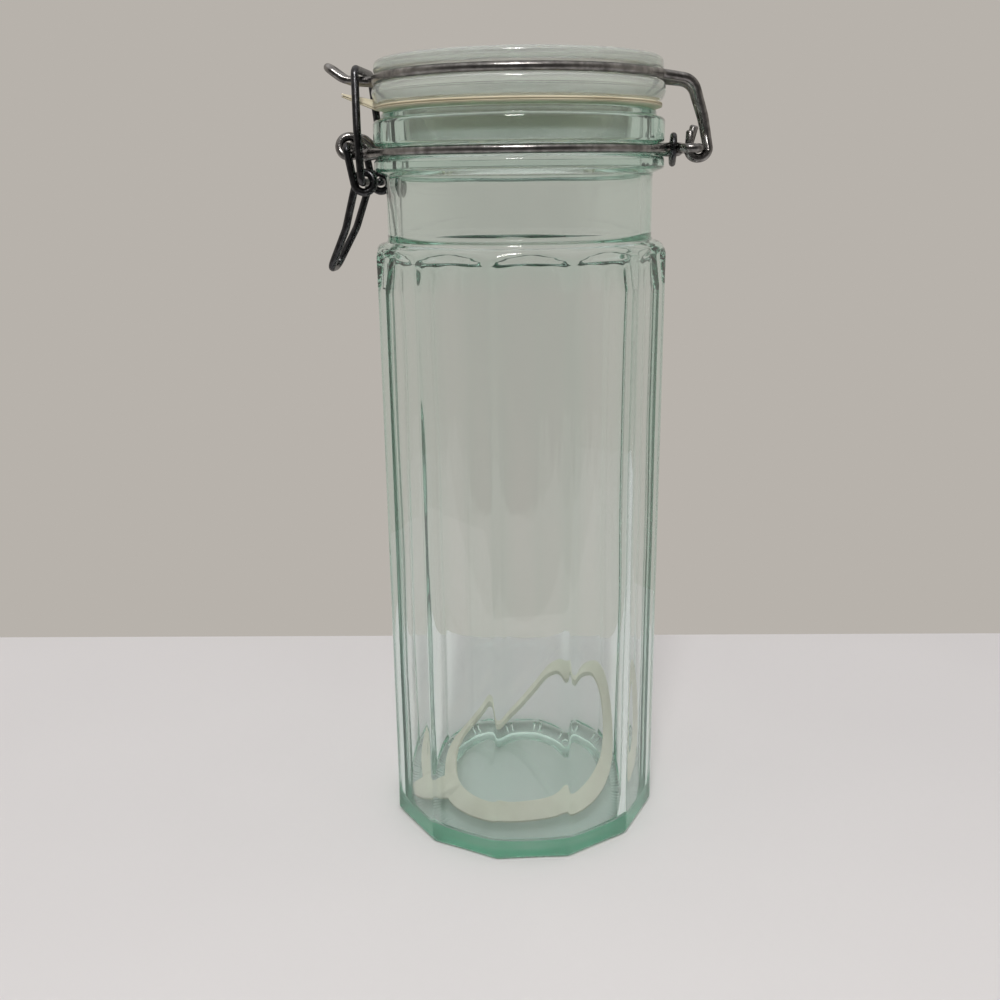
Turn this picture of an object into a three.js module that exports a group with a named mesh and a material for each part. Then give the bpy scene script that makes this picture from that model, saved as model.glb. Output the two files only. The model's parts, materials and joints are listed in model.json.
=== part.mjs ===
// A tall glass canister with a clip-down glass lid: a twelve-sided jar, a round lid on a flat
// rubber seal, the wires that hinge and clamp the lid, and a spare seal lying in the jar.
// Millimetres, +Z up. The jar's axis is the Z axis and the jar stands on Z = 0. The hinge is
// at +X and the catch at -X, so every pivot runs along Y.
import * as THREE from 'three';
import { mergeVertices } from 'three/addons/utils/BufferGeometryUtils.js';

const TURN = 2 * Math.PI;
const DEGREE = Math.PI / 180;

// Jar: a twelve-sided body, a round neck with a bead, a wire groove and a collar, and a flat lip.
const BODY_RADIUS = 50; // axis to a corner of the body
const BODY_SIDES = 12;
const BODY_FACING = 24 * DEGREE; // the closure is free to turn round the neck, so it isn't in line
const BODY_TOP = 203.5;
const NECK_RADIUS = 44.7;
const NECK_FOOT = 211.6;
const BEAD_RADIUS = 48.3;
const BEAD_BOTTOM = 233.4;
const GROOVE_RADIUS = 45.4;
const COLLAR_RADIUS = 48.3;
const COLLAR_TOP = 250.4;
const LIP_RADIUS = 45.5;
const LIP_TOP = 252.9;
const BORE_RADIUS = 41.2;
const WALL = 3.4;
const FLOOR = 6; // inside floor
const BASE_HOLLOW = 1.6; // the push-up under the base

// Seal, lid and the gap kept between pieces that touch.
const GAP = 0.3;
const SEAL_OUTER = 47.2;
const SEAL_INNER = 39;
const SEAL_THICKNESS = 2.2;
const SEAL_BOTTOM = LIP_TOP + GAP;
const LID_BOTTOM = SEAL_BOTTOM + SEAL_THICKNESS + GAP;
const LID_GROOVE_RADIUS = 45.3;
const LID_TOP = 268.9;
const PLUG_BOTTOM = 243;

// Wires. The two hoops are one gauge, the lever and its link are a little thinner.
const HOOP_WIRE = 1.4;
const LEVER_WIRE = 1.3;
const NECK_HOOP = 47.2; // radius of the hoop's centreline
const NECK_HOOP_Z = 240.4;
const LID_HOOP = 47;
const LID_HOOP_Z = 263.1;
const HINGE = { x: 59.3, z: 240.7 }; // the bow that the lid turns on
const LEVER_PIVOT = { x: -55.6, z: 242.7 }; // the eyes that the lever turns in
const LINK_PIVOT = { x: -50.2, z: 231.2 }; // the lever's coils, which carry the link
const LOOP_BEND = 3.15; // centreline radius of the eyes, the coils and the hinge hooks
const WIRE_SIDES = 10;

const glass = { roughness: 0.05, metalness: 0, transparent: true, opacity: 0.4 };
const steel = { roughness: 0.4, metalness: 1 };

const at = (x, y, z, radius = 0) => ({ p: new THREE.Vector3(x, y, z), radius });
const mirrored = ({ p, radius }) => at(p.x, -p.y, p.z, radius);

// Points round a turn of wire about an axis along Y, from one angle to another in the XZ plane,
// drifting from one Y to another as a coil does.
function turnAboutY(centre, radius, fromDegrees, toDegrees, fromY, toY) {
  const steps = Math.ceil(Math.abs(toDegrees - fromDegrees) / 24);
  return Array.from({ length: steps + 1 }, (_, i) => {
    const share = i / steps;
    const angle = (fromDegrees + (toDegrees - fromDegrees) * share) * DEGREE;
    const y = fromY + (toY - fromY) * share;
    return at(centre.x + radius * Math.cos(angle), y, centre.z + radius * Math.sin(angle));
  });
}

// Points round a level hoop about the jar's axis; 0 degrees is +X and 90 is +Y.
function hoop(radius, z, fromDegrees, toDegrees) {
  const steps = Math.ceil(Math.abs(toDegrees - fromDegrees) / 7);
  return Array.from({ length: steps + 1 }, (_, i) => {
    const angle = (fromDegrees + (toDegrees - fromDegrees) * i / steps) * DEGREE;
    return at(radius * Math.cos(angle), radius * Math.sin(angle), z);
  });
}

// The centreline of a wire: each corner that has a radius is rounded by an arc of that radius.
function bent(route, closed = false) {
  const points = [];
  route.forEach(({ p, radius }, i) => {
    const last = route.length - 1;
    if (!radius || (!closed && (i === 0 || i === last))) {
      points.push(p);
      return;
    }
    const before = route[i === 0 ? last : i - 1].p;
    const after = route[i === last ? 0 : i + 1].p;
    const into = p.clone().sub(before).normalize();
    const away = after.clone().sub(p).normalize();
    const angle = into.angleTo(away);
    const reach = radius * Math.tan(angle / 2);
    const inward = away.clone().sub(into).normalize();
    const centre = p.clone().addScaledVector(inward, radius / Math.cos(angle / 2));
    const start = p.clone().addScaledVector(into, -reach).sub(centre);
    const end = p.clone().addScaledVector(away, reach).sub(centre);
    const steps = Math.max(2, Math.ceil(angle / (24 * DEGREE)));
    for (let k = 0; k <= steps; k += 1) {
      const share = k / steps;
      points.push(centre.clone()
        .addScaledVector(start, Math.sin((1 - share) * angle) / Math.sin(angle))
        .addScaledVector(end, Math.sin(share * angle) / Math.sin(angle)));
    }
  });
  return points;
}

// A curve that steps exactly through its points, so a sweep has a section at each of them.
class WireCurve extends THREE.Curve {
  constructor(points, closed = false) {
    super();
    this.points = closed ? [...points, points[0]] : points;
    this.closed = closed;
  }

  getPointAt(share, target = new THREE.Vector3()) {
    return target.copy(this.points[Math.round(share * (this.points.length - 1))]);
  }

  getTangentAt(share, target = new THREE.Vector3()) {
    const last = this.points.length - 1;
    const i = Math.round(share * last);
    const before = i === 0 ? (this.closed ? last - 1 : 0) : i - 1;
    const after = i === last ? (this.closed ? 1 : last) : i + 1;
    target.set(0, 0, 0);
    if (before !== i) target.add(this.points[i].clone().sub(this.points[before]).normalize());
    if (after !== i) target.add(this.points[after].clone().sub(this.points[i]).normalize());
    return target.normalize();
  }
}

function wire(points, wireRadius) {
  const section = new THREE.Shape(Array.from({ length: WIRE_SIDES }, (_, i) => new THREE.Vector2(
    wireRadius * Math.cos(i * TURN / WIRE_SIDES),
    wireRadius * Math.sin(i * TURN / WIRE_SIDES),
  )));
  const curve = new WireCurve(points);
  return new THREE.ExtrudeGeometry(section, { steps: points.length - 1, extrudePath: curve });
}

function closedWire(points, wireRadius) {
  const curve = new WireCurve(points, true);
  return new THREE.TubeGeometry(curve, points.length, wireRadius, WIRE_SIDES, true);
}

// A round body turned about Z from (radius, height) points.
function turned(profile, segments = 48, facing = 0) {
  const outline = profile.map(([radius, z]) => new THREE.Vector2(radius, z));
  return new THREE.LatheGeometry(outline, segments, facing, TURN).rotateX(Math.PI / 2);
}

// How far a twelve-sided outline comes in from its corners' circle, at an angle from -Y.
function facetShare(angle) {
  const side = TURN / BODY_SIDES;
  const offCentre = ((angle - BODY_FACING) % side + side) % side - side / 2;
  return Math.cos(side / 2) / Math.cos(offCentre);
}

function jarGeometry() {
  const cavity = BODY_RADIUS - WALL;
  const geometry = turned([
    // under the base: the push-up, the ring it stands on, and the rounded bottom edge
    [0, BASE_HOLLOW], [30, BASE_HOLLOW], [38, 0.5], [40, 0], [48.4, 0], [49.6, 0.5], [BODY_RADIUS, 1.8],
    // the body and its shoulder
    [BODY_RADIUS, BODY_TOP], [49.7, 206.6], [48.5, 209], [46.9, 210.6], [45.2, 211.2],
    // the neck and its bead
    [NECK_RADIUS, NECK_FOOT + 0.6], [NECK_RADIUS, BEAD_BOTTOM - 0.5], [45.6, BEAD_BOTTOM],
    [47.5, 234.6], [BEAD_RADIUS, 236.2], [47.9, 237.6], [46.6, 238.2],
    // the wire's groove and the collar above it
    [GROOVE_RADIUS, 239.2], [GROOVE_RADIUS, 241.6], [46.8, 242.7], [47.9, 243.2],
    [COLLAR_RADIUS, 244.4], [COLLAR_RADIUS, 248.2], [47.7, 249.8], [46.6, COLLAR_TOP],
    // the lip that the seal lies on
    [LIP_RADIUS, COLLAR_TOP + 0.5], [LIP_RADIUS - 0.2, LIP_TOP - 0.6], [44.5, LIP_TOP],
    [BORE_RADIUS + 0.8, LIP_TOP], [BORE_RADIUS, LIP_TOP - 0.8],
    // the bore, the inside of the shoulder, the wall and the floor
    [BORE_RADIUS, 210], [42, 207], [44.4, 204.6], [46, 201.6], [cavity, 197],
    [cavity, FLOOR + 8], [45.4, FLOOR + 3.6], [42.6, FLOOR + 1.2], [38, FLOOR], [0, FLOOR],
  ], 48, BODY_FACING);
  const place = geometry.attributes.position;
  const roundBelow = 36; // radius inside which the base is round
  for (let i = 0; i < place.count; i += 1) {
    const [x, y, z] = [place.getX(i), place.getY(i), place.getZ(i)];
    const radius = Math.hypot(x, y);
    const fromRound = z < BODY_TOP - 20 ? roundBelow : NECK_RADIUS;
    const full = z < BODY_TOP - 20 ? 44 : BODY_RADIUS - 0.3;
    const isInside = radius <= cavity + 0.01 && z > FLOOR - 0.01 && z < BODY_TOP + 8;
    const share = isInside
      ? 0.7 * THREE.MathUtils.smoothstep(radius, roundBelow, 46)
      : THREE.MathUtils.clamp((radius - fromRound) / (full - fromRound), 0, 1) * (z < NECK_FOOT);
    const scale = 1 - share * (1 - facetShare(Math.atan2(x, -y)));
    place.setXY(i, x * scale, y * scale);
  }
  return geometry;
}

function lidGeometry() {
  return turned([
    // the underside: a dished middle and the plug that drops into the bore
    [0, 258.6], [24, 258], [31, 255.6], [33.6, 251], [34.6, PLUG_BOTTOM], [36.2, PLUG_BOTTOM],
    [37, PLUG_BOTTOM + 1], [38.6, LID_BOTTOM - 0.4],
    // the flange on the seal, the lower bulge and the wire's groove
    [39.6, LID_BOTTOM], [45.8, LID_BOTTOM], [47.3, 256.6], [48.1, 258], [48.3, 259.2],
    [47.9, 260.4], [46.8, 261.1], [45.6, 261.9], [LID_GROOVE_RADIUS, 263.1], [45.5, 264.3],
    // the upper bulge, the rim and the shallow dish on top
    [46.5, 265], [47.2, 265.6], [47.4, 266.4], [47.1, 267.6], [46.2, 268.5], [44.6, LID_TOP],
    [42.4, 268.6], [40.8, 267.6], [38, 266.9], [24, 266.5], [0, 266.4],
  ]);
}

// A flat rubber ring with a pull tab, swept round a closed line. At each point the ring's width
// runs away from a centre, and near one point its outer edge reaches out to make the tab.
function rubberRing(line, centreOf, tab) {
  const half = (SEAL_OUTER - SEAL_INNER) / 2;
  const thin = SEAL_THICKNESS / 2;
  const count = line.length;
  const corners = [];
  line.forEach((point, i) => {
    const along = line[(i + 1) % count].clone().sub(line[(i + count - 1) % count]).normalize();
    const across = point.clone().sub(centreOf(point));
    across.addScaledVector(along, -across.dot(along)).normalize();
    const up = across.clone().cross(along);
    const offTab = Math.min(Math.abs(i - tab.at), count - Math.abs(i - tab.at));
    const spread = offTab * tab.stepLength / tab.halfWidth;
    const reach = 0.3 + tab.length * Math.max(0, 1 - spread ** 4);
    const lift = reach * tab.rise;
    const section = [[-half, -thin, 0], [half, -thin, 0], [half + reach, -thin, lift],
      [half + reach, thin, lift], [half, thin, 0], [-half, thin, 0]];
    section.forEach(([wide, high, raised]) => corners.push(point.clone()
      .addScaledVector(across, wide).addScaledVector(up, high + raised)));
  });
  const sides = 6;
  const faces = [];
  for (let i = 0; i < count; i += 1) {
    for (let k = 0; k < sides; k += 1) {
      const a = i * sides + k;
      const b = i * sides + (k + 1) % sides;
      const c = ((i + 1) % count) * sides + (k + 1) % sides;
      const d = ((i + 1) % count) * sides + k;
      faces.push(a, d, b, b, d, c);
    }
  }
  const geometry = new THREE.BufferGeometry().setFromPoints(corners);
  geometry.setIndex(faces);
  return geometry;
}

// The seal under the lid: level, with its tab pulled up beside the catch.
function sealGeometry() {
  const middle = (SEAL_OUTER + SEAL_INNER) / 2;
  const level = SEAL_BOTTOM + SEAL_THICKNESS / 2;
  const steps = 90;
  const line = Array.from({ length: steps }, (_, i) => {
    const angle = i * TURN / steps;
    return new THREE.Vector3(middle * Math.cos(angle), middle * Math.sin(angle), level);
  });
  const tab = { at: steps / 2, stepLength: middle * TURN / steps, halfWidth: 7.5, length: 12, rise: 0.4 };
  return rubberRing(line, () => new THREE.Vector3(0, 0, level), tab);
}

// The spare seal lies on the floor at the front and left and leans up the wall at the back right.
function spareSealGeometry() {
  const route = [
    [-32, 4, 9.6], [-27, -17, 9.6], [-16, -29, 9.3], [-1, -32.5, 9.3], [20, -24, 9.6],
    [34, 0, 12], [36.8, 13.6, 21], [32.8, 23.6, 32], [25, 31, 38], [14.3, 35.6, 35], [3, 37.4, 26],
    [-9, 36.4, 17.5], [-20, 33, 11.5], [-29.6, 21, 9.6],
  ].map(([x, y, z]) => new THREE.Vector3(x, y, z));
  const curve = new THREE.CatmullRomCurve3(route, true);
  const steps = 84;
  const line = Array.from({ length: steps }, (_, i) => curve.getPointAt(i / steps));
  const tab = { at: 7, stepLength: curve.getLength() / steps, halfWidth: 6.5, length: 6.5, rise: 0.6 };
  return rubberRing(line, () => new THREE.Vector3(0, 2, 24), tab);
}

// The lid's wire, drawn from the middle of its catch to the cut end behind the hinge. The other
// half mirrors it, with a longer cut end.
function lidWireHalf(cutEnd) {
  return [
    at(-63.4, -4, 268, 3),
    at(-57.6, -4, 263.8, 8),
    at(-47.4, -4, LID_HOOP_Z, 3),
    ...hoop(LID_HOOP, LID_HOOP_Z, 190, 338),
    at(46.4, -12.2, LID_HOOP_Z, 3.5),
    at(56.6, -9.2, 261.6, 6),
    at(60.4, -6, 250.2, 20),
    ...turnAboutY(HINGE, LOOP_BEND, 0, -180, -3, -3),
    at(cutEnd.x, -3, cutEnd.z),
  ];
}

function lidWireGeometry() {
  const near = lidWireHalf({ x: 56.4, z: 246.3 });
  const far = lidWireHalf({ x: 58, z: 248 }).map(mirrored);
  return wire(bent([...near.reverse(), ...far]), HOOP_WIRE);
}

// The neck wire, from the jar's latch side round the near half to the hinge bow: a short arc
// between the eyes, an eye, the hoop, the pinch inside the clamp ring, and the loop with the bow.
function neckWireHalf(pinchZ) {
  return [
    ...hoop(NECK_HOOP, NECK_HOOP_Z, 181, 185),
    at(-48, -7.6, NECK_HOOP_Z + 0.2, 2.4),
    ...turnAboutY(LEVER_PIVOT, LOOP_BEND, 52, 276, -8, -11.2),
    at(-48.2, -12.2, NECK_HOOP_Z, 4),
    ...hoop(NECK_HOOP, NECK_HOOP_Z, 206, 334.5),
    at(49.4, -1.95, pinchZ, 1.7),
    at(52.7, -1.95, pinchZ, 1.7),
    at(54.4, -8.6, HINGE.z, 2.4),
    at(HINGE.x, -8.6, HINGE.z, 2.6),
  ];
}

function neckWireGeometry() {
  const near = neckWireHalf(241.3);
  const far = neckWireHalf(239.6).map(mirrored).reverse();
  return closedWire(bent([...near, ...far], true), HOOP_WIRE);
}

// The ring that clamps the neck wire's two strands together beside the jar.
function hingeCollarGeometry() {
  const ringWire = 1.1;
  const apart = 2.4; // from the ring's middle to the centre of each of its round ends
  const endRadius = 3.3;
  const lean = -24 * DEGREE;
  const steps = 28;
  const points = Array.from({ length: steps }, (_, i) => {
    const angle = (i + 0.5) * TURN / steps;
    const wide = apart * Math.sign(Math.cos(angle)) + endRadius * Math.cos(angle);
    const high = endRadius * Math.sin(angle);
    return new THREE.Vector3(
      51.05,
      wide * Math.cos(lean) - high * Math.sin(lean),
      240.45 + wide * Math.sin(lean) + high * Math.cos(lean),
    );
  });
  return closedWire(points, ringWire);
}

// The lever: an end through each eye, an arm down to a coil, and the handle between the coils.
function leverGeometry() {
  const outer = -14.2;
  const inner = -11.2;
  const near = [
    at(LEVER_PIVOT.x, -6.4, LEVER_PIVOT.z),
    at(LEVER_PIVOT.x, outer, LEVER_PIVOT.z, 2),
    ...turnAboutY(LINK_PIVOT, LOOP_BEND, 192, 523, outer, inner),
    at(-58.4, -8.2, 216, 14),
    at(-65.2, -4.6, 202.7, 3.8),
  ];
  return wire(bent([...near, ...near.map(mirrored).reverse()]), LEVER_WIRE);
}

// The link: an end through each coil and a bow over the catch on the lid's wire.
function linkGeometry() {
  const near = [
    at(LINK_PIVOT.x, -9.8, LINK_PIVOT.z),
    at(LINK_PIVOT.x, -17.2, LINK_PIVOT.z, 2),
    at(-50.9, -17.2, 247, 20),
    at(-52, -12, 266.5, 3),
  ];
  return wire(bent([...near, ...near.map(mirrored).reverse()]), LEVER_WIRE);
}

const canister = new THREE.Group();

function add(name, geometry, color, finish) {
  geometry.deleteAttribute('uv');
  geometry.deleteAttribute('normal');
  const mesh = new THREE.Mesh(
    mergeVertices(geometry, 1e-4),
    new THREE.MeshStandardMaterial({ color, ...finish }),
  );
  mesh.geometry.computeVertexNormals();
  mesh.name = name;
  canister.add(mesh);
}

add('jar', jarGeometry(), 0xb9d6ca, glass);
add('lid', lidGeometry(), 0xc6d2c6, glass);
add('seal', sealGeometry(), 0xd9cfae, { roughness: 0.7, metalness: 0 });
add('lid_wire', lidWireGeometry(), 0x8a8682, steel);
add('neck_wire', neckWireGeometry(), 0x7d7975, steel);
add('hinge_collar', hingeCollarGeometry(), 0x5e5b58, steel);
add('lever', leverGeometry(), 0x3a3a3b, steel);
add('link', linkGeometry(), 0x323233, steel);
add('spare_seal', spareSealGeometry(), 0xd6d6bf, { roughness: 0.75, metalness: 0 });

export default canister;
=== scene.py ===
"""A tall glass canister with a clip-down glass lid, its wire closure and a spare rubber seal.

The sizes below are in millimetres, as in the frame's own source, and each mesh is scaled to metres
when it is made. The jar stands on Z = 0 with its axis on Z, the hinge at +X and the catch at -X.
"""

import json
import math

import bpy
import numpy as np
from mathutils import Matrix, Vector, noise


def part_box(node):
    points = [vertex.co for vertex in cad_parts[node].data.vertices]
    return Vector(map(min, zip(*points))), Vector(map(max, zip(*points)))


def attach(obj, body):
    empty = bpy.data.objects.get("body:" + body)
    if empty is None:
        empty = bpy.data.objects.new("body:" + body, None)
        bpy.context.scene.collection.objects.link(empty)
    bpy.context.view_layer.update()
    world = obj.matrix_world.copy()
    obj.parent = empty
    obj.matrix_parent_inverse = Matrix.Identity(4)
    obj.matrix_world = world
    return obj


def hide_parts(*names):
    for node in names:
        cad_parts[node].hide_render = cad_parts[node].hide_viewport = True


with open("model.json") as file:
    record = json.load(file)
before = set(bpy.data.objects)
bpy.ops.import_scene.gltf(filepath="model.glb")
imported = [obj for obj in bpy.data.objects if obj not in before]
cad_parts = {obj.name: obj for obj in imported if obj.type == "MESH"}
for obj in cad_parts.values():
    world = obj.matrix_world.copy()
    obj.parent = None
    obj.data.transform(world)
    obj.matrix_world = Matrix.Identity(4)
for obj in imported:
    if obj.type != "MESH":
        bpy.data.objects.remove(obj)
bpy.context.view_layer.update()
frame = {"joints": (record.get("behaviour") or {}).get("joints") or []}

MM = 0.001
TURN = 2 * math.pi


def node_box(name):
    """A CAD node's lowest and highest corner, in millimetres."""
    low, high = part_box(name)
    return low / MM, high / MM


def joint_place(name):
    """Where a joint's axis crosses the XZ plane, in millimetres."""
    joint = next(j for j in frame["joints"] if j["name"] == name)
    return Vector(joint["pos_m"]) / MM


# ---------------------------------------------------------------- sizes taken from the frame
HINGE = joint_place("lid_swing")
LEVER_PIVOT = joint_place("lever_swing")
LINK_PIVOT = joint_place("link_swing")
LIP_TOP = node_box("jar")[1].z
LID_BOTTOM, LID_TOP = (corner.z for corner in node_box("lid"))
SEAL_BOTTOM = node_box("seal")[0].z

# ---------------------------------------------------------------- sizes of the glass
BODY_RADIUS = 50.0
BODY_SIDES = 12
BODY_FACING = math.radians(24)  # from -Y to a corner of the body
CORNER_SOFTNESS = 1.8  # radius of the body's upright edges
INSIDE_SOFTNESS = 20.0
INSIDE_FACETS = 0.2  # share of the outside's flats that the inside wall follows
INSIDE_WAVE = 0.22  # how far the inside wall wanders in and out
WAVE_LENGTH = 17.0
EDGE_SOFTNESS = 0.5  # where the flat sides meet the round shoulder
NECK_RADIUS = 44.7
BEAD_RADIUS = 48.3
GROOVE_RADIUS = 45.4
LIP_RADIUS = 45.5
BORE_RADIUS = 41.2
CAVITY_RADIUS = 46.6
FLOOR = 6.0
PUSH_UP = 1.6
SHOULDER = 203.5  # where the flat sides end
NECK_FOOT = 211.6
BEAD_BOTTOM = 233.2
GROOVE_BOTTOM = 238.2
COLLAR_BOTTOM = 242.7
COLLAR_TOP = 250.4
PLUG_SHADE_LOW = 246.0  # painted shade: a darker band painted round the lid where it sits in the neck, for the shadow under the seal
PLUG_SHADE_TOP = 252.0
JAR_SEGMENTS = 540
LID_SEGMENTS = 256
JAR_SPACING = 8.0  # about the step along straight stretches of the jar's profile
LID_SPACING = 6.0
SHORTEST_STEP = 0.02  # profile points closer than this are joined
CORNER_CROWDING = 0.05  # radians that segments are drawn towards the corners
KNURLS = 120  # fine ridges on the ring that the jar stands on
KNURL_DEPTH = 0.3
KNURL_REACH = 0.6  # they are only on points of the foot below this
FOOT_INNER = 39.0
FOOT_OUTER = 48.0
ROUND_MIDDLE = 36.0  # the floor is round within this radius

# ---------------------------------------------------------------- sizes of the wires and seals
HOOP_WIRE = 1.4
LEVER_WIRE = 1.3
RING_WIRE = 1.1
NECK_HOOP = 47.2
NECK_HOOP_Z = 240.4
LID_HOOP = 47.0
LID_HOOP_Z = 263.1
LOOP_BEND = 3.15
CUT_EASE = 0.35  # length and end size of the easing at a cut end, in wire radii
CUT_SIZE = 0.7
SAME_PLACE = 1e-4  # points on a wire closer than this are joined
WIRE_SIDES = 20
SEAL_OUTER = 47.2
SEAL_INNER = 39.0
SEAL_THICKNESS = 2.2
SEAL_TOP = SEAL_BOTTOM + SEAL_THICKNESS
CLEARANCE = 0.3  # between the seal and the glass above and below it in the frame
FILLED = 0.9  # share of that clearance that the pressed seal takes up here
SEAL_STEPS = 240
SPARE_STEPS = 252
SPARE_TAB_AT = 21  # step along the spare seal where its tab is


# ================================================================ mesh helpers
def shape(name, points, faces, body, node, slot, *materials):
    """A smooth mesh object in place of a CAD node, from points in millimetres."""
    mesh = bpy.data.meshes.new(name)
    mesh.from_pydata([tuple(p) for p in np.asarray(points, float) * MM], [], faces)
    mesh.polygons.foreach_set("use_smooth", [True] * len(mesh.polygons))
    for material in materials:
        mesh.materials.append(material)
    mesh.update()
    piece = bpy.data.objects.new(name, mesh)
    bpy.context.scene.collection.objects.link(piece)
    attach(piece, body)
    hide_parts(node)
    return piece


def strip_faces(rows, columns, rows_join=False):
    """Quads between rows of points, where every row is a closed ring of columns points."""
    faces = []
    for i in range(rows if rows_join else rows - 1):
        a = i * columns
        b = (i + 1) % rows * columns
        for k in range(columns):
            n = (k + 1) % columns
            faces.append((a + k, a + n, b + n, b + k))
    return faces


def bent(route, closed=False, step=math.radians(9)):
    """A line through (x, y, z, radius) corners, with each corner that has a radius rounded by an arc."""
    corners = [Vector(c[:3]) for c in route]
    points = []
    last = len(route) - 1
    for i, corner in enumerate(corners):
        radius = route[i][3] if len(route[i]) > 3 else 0
        if not radius or (not closed and i in (0, last)):
            points.append(corner)
            continue
        before = corners[i - 1]
        after = corners[0 if i == last else i + 1]
        into = (corner - before).normalized()
        away = (after - corner).normalized()
        angle = into.angle(away)
        if angle < 0.01:
            points.append(corner)
            continue
        room = 0.49 * min((corner - before).length, (after - corner).length)
        reach = min(radius * math.tan(angle / 2), room)
        radius = reach / math.tan(angle / 2)
        centre = corner + (away - into).normalized() * radius / math.cos(angle / 2)
        start = corner - into * reach - centre
        end = corner + away * reach - centre
        steps = max(2, math.ceil(angle / step))
        for k in range(steps + 1):
            share = k / steps
            points.append(
                centre
                + start * math.sin((1 - share) * angle) / math.sin(angle)
                + end * math.sin(share * angle) / math.sin(angle)
            )
    return points


def turn_about_y(centre, radius, from_degrees, to_degrees, from_y, to_y):
    """Corners round a turn of wire about an axis along Y, drifting along Y as a coil does."""
    steps = math.ceil(abs(to_degrees - from_degrees) / 8)
    corners = []
    for i in range(steps + 1):
        share = i / steps
        angle = math.radians(from_degrees + (to_degrees - from_degrees) * share)
        y = from_y + (to_y - from_y) * share
        corners.append((centre.x + radius * math.cos(angle), y, centre.z + radius * math.sin(angle)))
    return corners


def hoop(radius, z, from_degrees, to_degrees):
    """Corners round a level hoop about the jar's axis; 0 degrees is +X and 90 is +Y."""
    steps = math.ceil(abs(to_degrees - from_degrees) / 3)
    corners = []
    for i in range(steps + 1):
        angle = math.radians(from_degrees + (to_degrees - from_degrees) * i / steps)
        corners.append((radius * math.cos(angle), radius * math.sin(angle), z))
    return corners


def mirrored(route):
    return [(c[0], -c[1], *c[2:]) for c in route]


def wire(name, line, radius, body, node, slot, material, closed=False):
    """A round wire along a line of points, with eased ends where it is cut."""
    line = [p for i, p in enumerate(line) if i == 0 or (p - line[i - 1]).length > SAME_PLACE]
    if closed and (line[0] - line[-1]).length < SAME_PLACE:
        line.pop()
    scales = [1.0] * len(line)
    if not closed:
        ease = CUT_EASE * radius
        line.insert(1, line[0] + (line[1] - line[0]).normalized() * ease)
        line.insert(-1, line[-1] + (line[-2] - line[-1]).normalized() * ease)
        scales = [CUT_SIZE, *scales, CUT_SIZE]
    count = len(line)
    points = []
    frames = []
    normal = None
    for i, point in enumerate(line):
        before = line[i - 1] if closed or i else point
        after = line[(i + 1) % count] if closed or i < count - 1 else point
        tangent = (after - before).normalized()
        if normal is None:
            normal = tangent.orthogonal().normalized()
        normal = (normal - tangent * normal.dot(tangent)).normalized()
        frames.append((tangent, normal.copy()))
    twist = 0.0
    if closed:
        tangent, first = frames[0]
        carried = (normal - tangent * normal.dot(tangent)).normalized()
        twist = math.atan2(carried.cross(first).dot(tangent), carried.dot(first))
    for i, (point, (tangent, normal)) in enumerate(zip(line, frames)):
        side = tangent.cross(normal)
        for k in range(WIRE_SIDES):
            angle = k * TURN / WIRE_SIDES + twist * i / count
            around = normal * math.cos(angle) + side * math.sin(angle)
            points.append(point + around * radius * scales[i])
    faces = strip_faces(count, WIRE_SIDES, rows_join=closed)
    if not closed:
        faces.append(tuple(reversed(range(WIRE_SIDES))))
        faces.append(tuple(range((count - 1) * WIRE_SIDES, count * WIRE_SIDES)))
    return shape(name, points, faces, body, node, slot, material)


# ================================================================ glass shapes
def rounded_side(angle, softness):
    """How far out the soft-cornered body reaches at an angle from -Y, as a share of BODY_RADIUS."""
    half = math.pi / BODY_SIDES
    flat = BODY_RADIUS * math.cos(half)
    centre = (flat - softness) / math.cos(half)
    from_corner = (angle - BODY_FACING + half) % (2 * half) - half
    reach = math.atan2(softness * math.sin(half), centre + softness * math.cos(half))
    if abs(from_corner) > reach:
        return flat / math.cos(half - abs(from_corner)) / BODY_RADIUS
    lift = centre * math.cos(from_corner)
    return (lift + math.sqrt(softness**2 - (centre * math.sin(from_corner)) ** 2)) / BODY_RADIUS


def profile_points(corners, spacing, turn=math.radians(15)):
    """(radius, height) points along a profile, with its long straight stretches divided."""
    line = bent([(r, 0, z, soft) for r, z, soft in corners], step=turn)
    points = [line[0]]
    for point in line[1:]:
        length = (point - points[-1]).length
        if length < SHORTEST_STEP:
            continue
        steps = max(1, round(length / spacing))
        start = points[-1]
        for k in range(1, steps + 1):
            points.append(start.lerp(point, k / steps))
    return [(p.x, p.z) for p in points]


def turned(profile, segments, place):
    """Points and faces of a profile turned about Z. Its first and last points are on the axis."""
    ring = profile[1:-1]
    points = [place(r, z, i * TURN / segments) for r, z in ring for i in range(segments)]
    faces = strip_faces(len(ring), segments)
    first = len(points)
    points.append((0, 0, profile[0][1]))
    points.append((0, 0, profile[-1][1]))
    end = (len(ring) - 1) * segments
    for k in range(segments):
        n = (k + 1) % segments
        faces.append((first, n, k))
        faces.append((first + 1, end + k, end + n))
    return points, faces


def lesser(a, b, softness):
    """The smaller of two lengths, eased where they are nearly equal."""
    overlap = max(0.0, 1 - abs(a - b) / softness)
    return min(a, b) - softness * overlap * overlap / 4


def smooth(low, high, value):
    share = min(1.0, max(0.0, (value - low) / (high - low)))
    return share * share * (3 - 2 * share)


def on_inside(radius, z):
    """Whether a point of the jar's profile is on its inside wall, judged by its place.

    Four points at the foot of the neck are misjudged, which matters only to the wave.
    """
    in_cavity = radius < CAVITY_RADIUS + 0.05 and FLOOR - 0.01 < z < NECK_FOOT
    in_bore = radius < BORE_RADIUS + 1 and z > SHOULDER
    return in_cavity or in_bore


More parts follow.
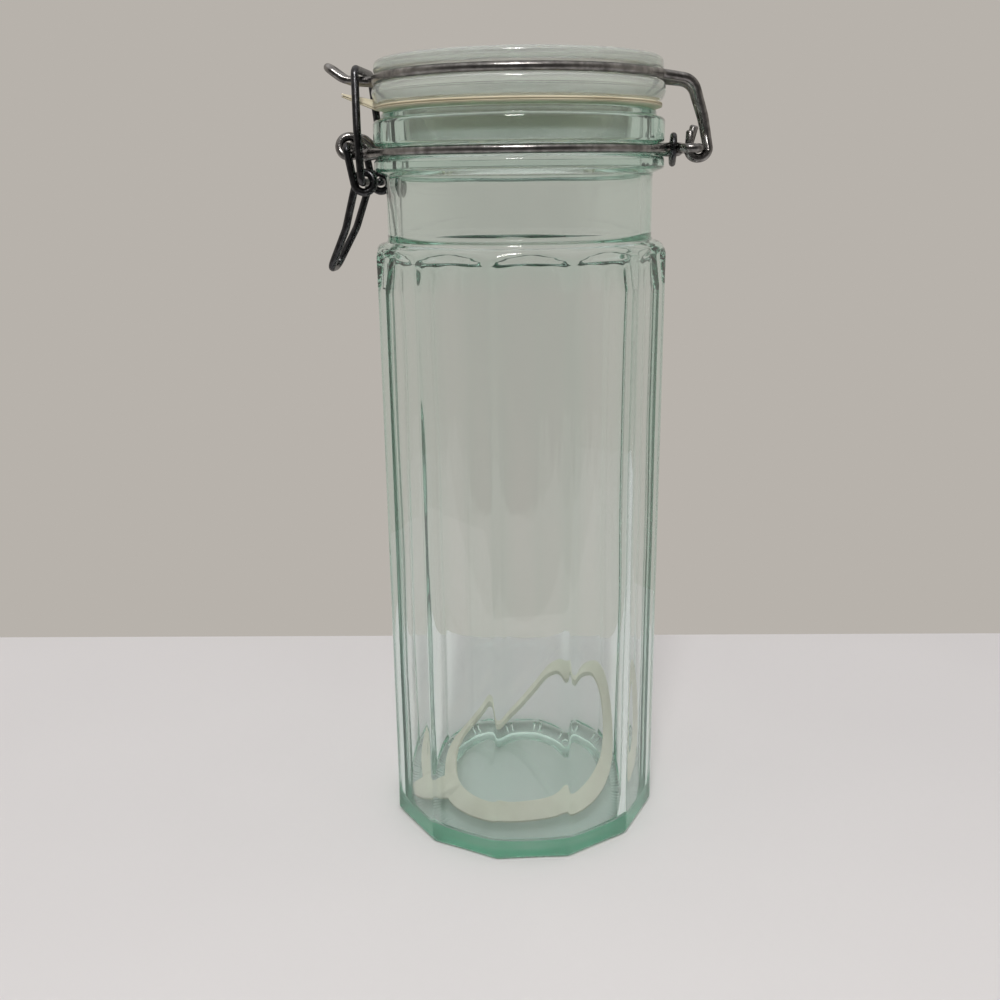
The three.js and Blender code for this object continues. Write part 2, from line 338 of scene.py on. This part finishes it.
def jar_place(radius, z, angle):
    """Where a point of the jar's profile goes, with the flats, the inside's waves and the foot's ridges."""
    angle -= CORNER_CROWDING * math.sin(BODY_SIDES * (angle - BODY_FACING))
    inner = on_inside(radius, z)
    if inner:
        share = INSIDE_FACETS * smooth(ROUND_MIDDLE, 46.5, radius) * (1 - smooth(SHOULDER - 8, NECK_FOOT, z))
        radius *= 1 - share * (1 - rounded_side(angle, INSIDE_SOFTNESS))
    elif z < FLOOR:
        radius *= 1 - smooth(ROUND_MIDDLE, 44, radius) * (1 - rounded_side(angle, CORNER_SOFTNESS))
    elif z < NECK_FOOT:
        radius = lesser(radius, BODY_RADIUS * rounded_side(angle, CORNER_SOFTNESS), EDGE_SOFTNESS)
    if inner and 10 < z < 250:
        x, y = radius * math.sin(angle), -radius * math.cos(angle)
        wave = noise.noise(Vector((x, y, z * 0.4)) / WAVE_LENGTH)
        radius += INSIDE_WAVE * wave * smooth(10, 30, z)
    if not inner and z < KNURL_REACH and FOOT_INNER < radius < FOOT_OUTER:
        z += KNURL_DEPTH * (0.5 + 0.5 * math.cos(angle * KNURLS)) * smooth(FOOT_INNER, FOOT_INNER + 2, radius)
    return radius * math.sin(angle), -radius * math.cos(angle), z


def jar_points():
    outside = [
        (0, PUSH_UP, 0), (31, PUSH_UP, 6), (38.6, 0, 3), (48.9, 0, 0.8), (BODY_RADIUS, 1.6, 1.6),
        (BODY_RADIUS, 194, 0), (BODY_RADIUS, 208.4, 6), (47.6, 211.2, 3), (NECK_RADIUS, NECK_FOOT, 1.8),
        (NECK_RADIUS, BEAD_BOTTOM, 0.8), (48.4, 234.6, 1.3), (BEAD_RADIUS, GROOVE_BOTTOM, 1.3),
        (GROOVE_RADIUS, GROOVE_BOTTOM + 0.6, 0.6), (GROOVE_RADIUS, COLLAR_BOTTOM - 0.5, 0.5),
        (BEAD_RADIUS, COLLAR_BOTTOM, 1.1), (BEAD_RADIUS, COLLAR_TOP, 1.9),
        (LIP_RADIUS, COLLAR_TOP + 0.4, 0.4), (LIP_RADIUS - 0.2, LIP_TOP, 0.9),
    ]
    inside = [
        (BORE_RADIUS, LIP_TOP, 0.9), (BORE_RADIUS, 213.4, 2.6), (43.4, 211.2, 2.6),
        (CAVITY_RADIUS, 197, 12), (CAVITY_RADIUS, FLOOR, 2.2), (0, FLOOR, 0),
    ]
    return turned(profile_points(outside + inside, JAR_SPACING), JAR_SEGMENTS, jar_place)


def lid_points():
    profile = profile_points([
        (0, 258.6, 0), (31.5, 257.6, 5), (34.4, LID_BOTTOM, 0.7), (36.8, LID_BOTTOM, 1.2),
        (38.6, 255.6, 0.7), (47.0, 255.7, 1.2), (48.4, 258.6, 1.8), (47.8, 261.2, 1.2),
        (45.3, 261.9, 0.9), (45.3, 264.4, 0.8), (47.5, 265.1, 0.9), (47.2, LID_TOP, 1.8),
        (42.6, LID_TOP, 1.2), (39.6, 266.9, 2.2), (0, 266.4, 0),
    ], LID_SPACING)

    def place(radius, z, angle):
        return radius * math.sin(angle), -radius * math.cos(angle), z

    return turned(profile, LID_SEGMENTS, place)


# ================================================================ rubber seals
def band_section(half_width, half_thickness, edge_share=0.5, round_off=0.4, steps=3):
    """A flat band's outline as (across, up) points. Its outer edge is thinner and has a groove round it."""
    groove_half = 0.35
    groove_depth = 0.45
    points = []
    for corner, (sx, sy) in enumerate([(1, -1), (1, 1), (-1, 1), (-1, -1)]):
        start = math.radians(-90 + 90 * corner)
        thick = half_thickness * (edge_share if sx > 0 else 1)
        for k in range(steps + 1):
            angle = start + math.radians(90) * k / steps
            points.append((
                sx * (half_width - round_off) + round_off * math.cos(angle),
                sy * (thick - round_off) + round_off * math.sin(angle),
            ))
        if corner == 0:
            bottom = half_width - groove_depth
            points += [(half_width, -groove_half), (bottom, 0.0), (half_width, groove_half)]
    return points


def rubber_band(line, centre_of, tab, thickness=SEAL_THICKNESS):
    """A flat rubber ring round a closed line, its width running away from a centre, with a pull tab."""
    count = len(line)
    half = (SEAL_OUTER - SEAL_INNER) / 2
    section = band_section(half, thickness / 2)
    points = []
    for i, point in enumerate(line):
        along = (line[(i + 1) % count] - line[i - 1]).normalized()
        across = point - centre_of(point)
        across = (across - along * across.dot(along)).normalized()
        up = across.cross(along)
        off_tab = min(abs(i - tab["at"]), count - abs(i - tab["at"]))
        from_middle = off_tab * tab["step"] / tab["half_width"]
        reach = tab["length"] * max(0.0, 1 - from_middle**4)
        for wide, high in section:
            share = smooth(0, half, wide)
            points.append(
                point
                + across * (wide + reach * share)
                + up * (high + tab["rise"] * reach * share)
            )
    return points, strip_faces(count, len(section), rows_join=True)


def closed_curve(corners, steps):
    """A smooth closed line through corners, with its points evenly spaced, and its length."""
    fine = []
    fine_steps = 24
    count = len(corners)
    for i in range(count):
        p0, p1, p2, p3 = (Vector(corners[(i + k) % count]) for k in (-1, 0, 1, 2))
        for k in range(fine_steps):
            t = k / fine_steps
            fine.append(0.5 * (
                2 * p1 + (p2 - p0) * t
                + (2 * p0 - 5 * p1 + 4 * p2 - p3) * t**2
                + (3 * p1 - p0 - 3 * p2 + p3) * t**3
            ))
    fine = np.array(fine + fine[:1])
    reach = np.concatenate([[0], np.cumsum(np.linalg.norm(np.diff(fine, axis=0), axis=1))])
    at = np.linspace(0, reach[-1], steps, endpoint=False)
    return [Vector([np.interp(s, reach, fine[:, axis]) for axis in range(3)]) for s in at], reach[-1]


# ================================================================ materials
def new_material(name):
    made = bpy.data.materials.new(name)
    made.use_nodes = True
    nodes = made.node_tree.nodes
    return made, nodes, made.node_tree.links, nodes["Principled BSDF"]


def add(nodes, kind, **sockets):
    """A node with its inputs set by name, and its own properties where it has one of that name."""
    made = nodes.new(kind)
    for key, value in sockets.items():
        label = key.replace("_", " ")
        if label in made.inputs:
            made.inputs[label].default_value = value
        else:
            setattr(made, key, value)
    return made


def object_noise(nodes, links, scale, detail=4.0, roughness=0.55, stretch=(1, 1, 1)):
    where = nodes.new("ShaderNodeTexCoord")
    mapping = nodes.new("ShaderNodeMapping")
    mapping.inputs["Scale"].default_value = stretch
    links.new(where.outputs["Object"], mapping.inputs["Vector"])
    made = add(nodes, "ShaderNodeTexNoise", Scale=scale, Detail=detail, Roughness=roughness)
    links.new(mapping.outputs["Vector"], made.inputs["Vector"])
    return made


def ramp(nodes, links, source, stops):
    made = nodes.new("ShaderNodeValToRGB")
    elements = made.color_ramp.elements
    while len(elements) < len(stops):
        elements.new(0.5)
    for element, (place, color) in zip(elements, stops):
        element.position = place
        element.color = (*color, 1)
    links.new(source, made.inputs["Fac"])
    return made


def spread(nodes, links, source, low, high, start=0.0, end=1.0):
    """A node that gives low to high while its source goes from start to end."""
    made = add(nodes, "ShaderNodeMapRange")
    made.inputs["From Min"].default_value = start
    made.inputs["From Max"].default_value = end
    made.inputs["To Min"].default_value = low
    made.inputs["To Max"].default_value = high
    links.new(source, made.inputs["Value"])
    return made


def blend_of(nodes, links, share, first, second):
    """The output of a colour mix between two colours, either of which may be another node's output."""
    made = add(nodes, "ShaderNodeMix", data_type="RGBA")
    links.new(share, made.inputs["Factor"])
    sockets = {socket.identifier: socket for socket in (*made.inputs, *made.outputs)}
    for key, color in {"A_Color": first, "B_Color": second}.items():
        if isinstance(color, tuple):
            sockets[key].default_value = (*color, 1)
        else:
            links.new(color, sockets[key])
    return sockets["Result_Color"]


def bump(nodes, links, source, principled, distance, strength=1.0):
    made = add(nodes, "ShaderNodeBump", Strength=strength, Distance=distance)
    links.new(source, made.inputs["Height"])
    links.new(made.outputs["Normal"], principled.inputs["Normal"])
    return made


def glass(name, absorb_color, absorb_density, wave, haze, clear, foot_haze=0.0, plug_shade=(1, 1, 1)):
    """Glass that absorbs by its thickness. Haze and clear are (low, high) across its smears.

    From the lower to the upper edge of the lid's shade band its surface takes the darker shade colour, a
    painted shade for the shadow under the seal. Under the foot it is hazier by foot_haze.
    """
    made, nodes, links, principled = new_material(name)
    principled.inputs["IOR"].default_value = 1.52
    smears = object_noise(nodes, links, scale=34.0, detail=5.0, stretch=(1, 1, 0.35))
    clearness = spread(nodes, links, smears.outputs["Fac"], *clear)
    links.new(clearness.outputs["Result"], principled.inputs["Transmission Weight"])
    hazy = spread(nodes, links, smears.outputs["Fac"], *haze)
    where = nodes.new("ShaderNodeTexCoord")
    parts = nodes.new("ShaderNodeSeparateXYZ")
    links.new(where.outputs["Object"], parts.inputs["Vector"])
    foot = spread(nodes, links, parts.outputs["Z"], foot_haze, 0.0, PUSH_UP * 1.1 * MM, PUSH_UP * 1.3 * MM)
    rough = add(nodes, "ShaderNodeMath", operation="ADD")
    links.new(hazy.outputs["Result"], rough.inputs[0])
    links.new(foot.outputs["Result"], rough.inputs[1])
    links.new(rough.outputs["Value"], principled.inputs["Roughness"])
    tint = ramp(nodes, links, smears.outputs["Fac"], [(0.3, (0.97, 0.985, 0.98)), (0.7, (1, 1, 1))])
    # painted shade: the surface is darkened in a band, standing in for the shadow under the seal seen through
    # the collar
    height = spread(nodes, links, parts.outputs["Z"], 0.0, 1.0, PLUG_SHADE_LOW * MM, PLUG_SHADE_TOP * MM)
    off, on = (0, 0, 0), (1, 1, 1)
    band = ramp(nodes, links, height.outputs["Result"], [(0, off), (0.2, on), (0.8, on), (1, off)])
    color = blend_of(nodes, links, band.outputs["Color"], tint.outputs["Color"], plug_shade)
    links.new(color, principled.inputs["Base Color"])
    waves = object_noise(nodes, links, scale=55.0, detail=1.0, stretch=(1, 1, 0.3))
    bump(nodes, links, waves.outputs["Fac"], principled, wave)
    absorb = add(nodes, "ShaderNodeVolumeAbsorption", Color=(*absorb_color, 1), Density=absorb_density)
    links.new(absorb.outputs["Volume"], nodes["Material Output"].inputs["Volume"])
    return made


def rubber(name, dark, light):
    made, nodes, links, principled = new_material(name)
    cloud = object_noise(nodes, links, scale=60.0, detail=6.0)
    color = ramp(nodes, links, cloud.outputs["Fac"], [(0.3, dark), (0.62, light)])
    links.new(color.outputs["Color"], principled.inputs["Base Color"])
    rough = spread(nodes, links, cloud.outputs["Fac"], 0.45, 0.7)
    links.new(rough.outputs["Result"], principled.inputs["Roughness"])
    grain = object_noise(nodes, links, scale=1400.0, detail=3.0)
    bump(nodes, links, grain.outputs["Fac"], principled, distance=0.00005)
    return made


def steel(name, stops, rough, mottle):
    made, nodes, links, principled = new_material(name)
    principled.inputs["Metallic"].default_value = 1.0
    cloud = object_noise(nodes, links, mottle, detail=8.0, roughness=0.65)
    color = ramp(nodes, links, cloud.outputs["Fac"], stops)
    links.new(color.outputs["Color"], principled.inputs["Base Color"])
    dull = spread(nodes, links, cloud.outputs["Fac"], *rough)
    links.new(dull.outputs["Result"], principled.inputs["Roughness"])
    pits = object_noise(nodes, links, scale=1900.0, detail=4.0)
    bump(nodes, links, pits.outputs["Fac"], principled, distance=0.00006)
    return made


JAR_GREEN = (0.0, 0.73, 0.48)
JAR_DENSITY = 17.5
LID_GREEN = (0.25, 0.76, 0.4)
LID_DENSITY = 2.8
jar_glass = glass("jar_glass", JAR_GREEN, JAR_DENSITY, wave=0.00006, haze=(0.0, 0.03), clear=(0.985, 1.0),
                  foot_haze=0.2)
# the lid's darker ring colour is painted shade for the shadow under the seal
lid_glass = glass("lid_glass", LID_GREEN, LID_DENSITY, wave=0.00005, haze=(0.06, 0.14), clear=(0.72, 0.8),
                  plug_shade=(0.58, 0.59, 0.5))
seal_rubber = rubber("seal_rubber", (0.60, 0.54, 0.38), (0.76, 0.70, 0.53))
spare_rubber = rubber("spare_rubber", (0.66, 0.65, 0.54), (0.78, 0.78, 0.67))
hoop_steel = steel("hoop_steel", [(0.34, (0.1, 0.094, 0.09)), (0.7, (0.36, 0.35, 0.34))],
                   rough=(0.3, 0.16), mottle=300.0)
lever_steel = steel("lever_steel", [(0.35, (0.03, 0.031, 0.033)), (0.7, (0.1, 0.1, 0.104))],
                    rough=(0.32, 0.2), mottle=500.0)


# ================================================================ pieces
def build_glass():
    points, faces = jar_points()
    shape("jar_glass", points, faces, "jar", "jar", "jar_glass", jar_glass)
    points, faces = lid_points()
    shape("lid_glass", points, faces, "lid", "lid", "lid_glass", lid_glass)


def build_seals():
    middle = (SEAL_OUTER + SEAL_INNER) / 2
    level = (SEAL_BOTTOM + SEAL_TOP) / 2
    angles = np.arange(SEAL_STEPS) * TURN / SEAL_STEPS
    line = [Vector((middle * math.cos(a), middle * math.sin(a), level)) for a in angles]
    step = middle * TURN / SEAL_STEPS
    tab = {"at": SEAL_STEPS // 2, "step": step, "half_width": 7.5, "length": 12.0, "rise": 0.4}
    pressed = SEAL_THICKNESS + 2 * FILLED * CLEARANCE
    points, faces = rubber_band(line, lambda p: Vector((0, 0, p.z)), tab, pressed)
    shape("seal_ring", points, faces, "lid", "seal", "seal_rubber", seal_rubber)
    route = [
        (-32, 4, 9.6), (-27, -17, 9.6), (-16, -29, 9.3), (-1, -32.5, 9.3), (20, -24, 9.6),
        (34, 0, 12), (36.8, 13.6, 21), (32.8, 23.6, 32), (25, 31, 38), (14.3, 35.6, 35), (3, 37.4, 26),
        (-9, 36.4, 17.5), (-20, 33, 11.5), (-29.6, 21, 9.6),
    ]
    line, length = closed_curve(route, SPARE_STEPS)
    tab = {"at": SPARE_TAB_AT, "step": length / SPARE_STEPS, "half_width": 6.5, "length": 8.0, "rise": 0.6}
    points, faces = rubber_band(line, lambda p: Vector((0, 2, 24)), tab)
    shape("spare_ring", points, faces, "jar", "spare_seal", "spare_rubber", spare_rubber)


def lid_wire_half(cut_x, cut_z):
    return [
        (-63.4, -4, 268, 3),
        (-57.6, -4, 263.8, 8),
        (-47.4, -4, LID_HOOP_Z, 3),
        *hoop(LID_HOOP, LID_HOOP_Z, 190, 338),
        (46.4, -12.2, LID_HOOP_Z, 3.5),
        (56.6, -9.2, 261.6, 6),
        (60.4, -6, 250.2, 20),
        *turn_about_y(HINGE, LOOP_BEND, 0, -180, -3, -3),
        (cut_x, -3, cut_z),
    ]


def neck_wire_half(pinch_z):
    return [
        *hoop(NECK_HOOP, NECK_HOOP_Z, 181, 185),
        (-48, -7.6, NECK_HOOP_Z + 0.2, 2.4),
        *turn_about_y(LEVER_PIVOT, LOOP_BEND, 52, 276, -8, -11.2),
        (-48.2, -12.2, NECK_HOOP_Z, 4),
        *hoop(NECK_HOOP, NECK_HOOP_Z, 206, 334.5),
        (49.4, -1.95, pinch_z, 1.7),
        (52.7, -1.95, pinch_z, 1.7),
        (54.4, -8.6, HINGE.z, 2.4),
        (HINGE.x, -8.6, HINGE.z, 2.6),
    ]


def clamp_ring_line():
    """The oval ring that holds the neck wire's two strands together between the jar and the hinge."""
    middle_x = 51.05
    apart = 2.4
    end_radius = 3.3
    lean = math.radians(-24)
    steps = 56
    line = []
    for i in range(steps):
        angle = (i + 0.5) * TURN / steps
        wide = apart * math.copysign(1, math.cos(angle)) + end_radius * math.cos(angle)
        high = end_radius * math.sin(angle)
        line.append(Vector((
            middle_x,
            wide * math.cos(lean) - high * math.sin(lean),
            NECK_HOOP_Z + wide * math.sin(lean) + high * math.cos(lean),
        )))
    return line


def build_wires():
    near = lid_wire_half(cut_x=56.4, cut_z=246.3)
    far = mirrored(lid_wire_half(cut_x=58, cut_z=248))
    wire("lid_hoop", bent([*reversed(near), *far]), HOOP_WIRE, "lid", "lid_wire", "hoop_wire", hoop_steel)
    near = neck_wire_half(pinch_z=241.3)
    far = mirrored(neck_wire_half(pinch_z=239.6))
    line = bent([*near, *reversed(far)], closed=True)
    wire("neck_hoop", line, HOOP_WIRE, "jar", "neck_wire", "hoop_wire", hoop_steel, closed=True)
    line = clamp_ring_line()
    wire("clamp_ring", line, RING_WIRE, "jar", "hinge_collar", "hoop_wire", lever_steel, closed=True)
    near = [
        (LEVER_PIVOT.x, -6.4, LEVER_PIVOT.z),
        (LEVER_PIVOT.x, -14.2, LEVER_PIVOT.z, 2),
        *turn_about_y(LINK_PIVOT, LOOP_BEND, 192, 523, -14.2, -11.2),
        (-58.4, -8.2, 216, 14),
        (-65.2, -4.6, 202.7, 3.8),
    ]
    line = bent([*near, *reversed(mirrored(near))])
    wire("lever_wire", line, LEVER_WIRE, "lever", "lever", "lever_wire", lever_steel)
    near = [
        (LINK_PIVOT.x, -9.8, LINK_PIVOT.z),
        (LINK_PIVOT.x, -17.2, LINK_PIVOT.z, 2),
        (-50.9, -17.2, 247, 20),
        (-52, -12, 266.5, 3),
    ]
    line = bent([*near, *reversed(mirrored(near))])
    wire("link_wire", line, LEVER_WIRE, "link", "link", "lever_wire", lever_steel)


build_glass()
build_seals()
build_wires()

# ================================================================ camera, light and stage
VIEW_TURN = math.radians(5)  # the closure is turned this far from square to the camera
CAMERA_DISTANCE = 383.8
CAMERA_HEIGHT = 232.3
CAMERA_YAW = math.radians(-1.151)
CAMERA_PITCH = math.radians(16.466)
CAMERA_ROLL = math.radians(-0.698)
CAMERA_LENS = 39.3
FLOOR_BEHIND = 150.0  # the floor ends this far behind the jar's axis
FLOOR_AHEAD = 270.0  # and this far in front of it
FLOOR_ASIDE = 600.0
FLOOR_DROP = 0.2  # below the jar's foot
WALL_TONE = (0.475, 0.445, 0.408)
ROOM_TONE = (0.11, 0.105, 0.1)
APRON_TONE = (0.16, 0.155, 0.15)  # in front of the jar, below the horizon
CEILING_TONE = (0.85, 0.83, 0.82)
KEY_PLACE = (0.02, -0.75, 1.05)  # in metres
KEY_AIM = (0, 0, 0.12)


def add_camera():
    about = Matrix.Rotation(VIEW_TURN, 3, "Z")
    forward = about @ Vector((
        math.sin(CAMERA_YAW) * math.cos(CAMERA_PITCH),
        math.cos(CAMERA_YAW) * math.cos(CAMERA_PITCH),
        -math.sin(CAMERA_PITCH),
    ))
    right = forward.cross(Vector((0, 0, 1))).normalized()
    up = right.cross(forward)
    right, up = (
        right * math.cos(CAMERA_ROLL) + up * math.sin(CAMERA_ROLL),
        up * math.cos(CAMERA_ROLL) - right * math.sin(CAMERA_ROLL),
    )
    data = bpy.data.cameras.new("camera")
    data.lens = CAMERA_LENS
    data.sensor_width = 36
    data.clip_start = 0.01
    camera = bpy.data.objects.new("camera", data)
    bpy.context.scene.collection.objects.link(camera)
    place = about @ Vector((0, -CAMERA_DISTANCE, CAMERA_HEIGHT)) * MM
    camera.matrix_world = Matrix.Translation(place) @ Matrix((right, up, -forward)).transposed().to_4x4()
    bpy.context.scene.camera = camera


def add_lamp(name, place, aim, size, power, color):
    data = bpy.data.lights.new(name, "AREA")
    data.shape = "DISK"
    data.size = size
    data.energy = power
    data.color = color
    lamp = bpy.data.objects.new(name, data)
    bpy.context.scene.collection.objects.link(lamp)
    lamp.location = place
    lamp.rotation_euler = (Vector(aim) - Vector(place)).to_track_quat("-Z", "Y").to_euler()


def add_floor():
    made, nodes, links, principled = new_material("floor_paper")
    fibre = object_noise(nodes, links, scale=3.0, detail=3.0)
    stops = [(0.3, (0.70, 0.69, 0.70)), (0.7, (0.74, 0.73, 0.74))]
    color = ramp(nodes, links, fibre.outputs["Fac"], stops)
    links.new(color.outputs["Color"], principled.inputs["Base Color"])
    principled.inputs["Roughness"].default_value = 0.9
    principled.inputs["Specular IOR Level"].default_value = 0.1
    mesh = bpy.data.meshes.new("floor")
    side, front, back = FLOOR_ASIDE * MM, -FLOOR_AHEAD * MM, FLOOR_BEHIND * MM
    corners = [(-side, front, 0), (side, front, 0), (side, back, 0), (-side, back, 0)]
    mesh.from_pydata(corners, [], [(0, 1, 2, 3)])
    mesh.materials.append(made)
    floor = bpy.data.objects.new("floor", mesh)
    floor.rotation_euler.z = VIEW_TURN
    floor.location.z = -FLOOR_DROP * MM
    bpy.context.scene.collection.objects.link(floor)


def add_world():
    world = bpy.data.worlds.new("studio")
    bpy.context.scene.world = world
    world.use_nodes = True
    nodes, links = world.node_tree.nodes, world.node_tree.links
    where = nodes.new("ShaderNodeTexCoord")
    parts = nodes.new("ShaderNodeSeparateXYZ")
    links.new(where.outputs["Generated"], parts.inputs["Vector"])
    below = spread(nodes, links, parts.outputs["Z"], 1.0, 0.0, start=-0.6, end=0.0)
    room = blend_of(nodes, links, below.outputs["Result"], ROOM_TONE, APRON_TONE)
    behind = spread(nodes, links, parts.outputs["Y"], 0.0, 1.0, start=-0.75, end=-0.1)
    walls = blend_of(nodes, links, behind.outputs["Result"], room, WALL_TONE)
    height = spread(nodes, links, parts.outputs["Z"], 0.0, 1.0, start=0.45, end=0.85)
    shade = blend_of(nodes, links, height.outputs["Result"], walls, CEILING_TONE)
    links.new(shade, nodes["Background"].inputs["Color"])
    nodes["Background"].inputs["Strength"].default_value = 1.0


def set_light_paths():
    """Enough bounces for thick glass, and tones shown as they are."""
    bpy.context.scene.view_settings.view_transform = "Standard"
    light_paths = bpy.context.scene.cycles
    light_paths.max_bounces = 48  # thick glass carries light a long way round inside
    light_paths.transmission_bounces = 48
    light_paths.glossy_bounces = 16
    light_paths.diffuse_bounces = 8
    light_paths.blur_glossy = 0.0  # the seals and the floor are lit through the glass
    light_paths.sample_clamp_indirect = 6.0


add_camera()
add_lamp("key", KEY_PLACE, KEY_AIM, size=0.24, power=6.3, color=(1.0, 0.97, 0.95))
add_floor()
add_world()
set_light_paths()
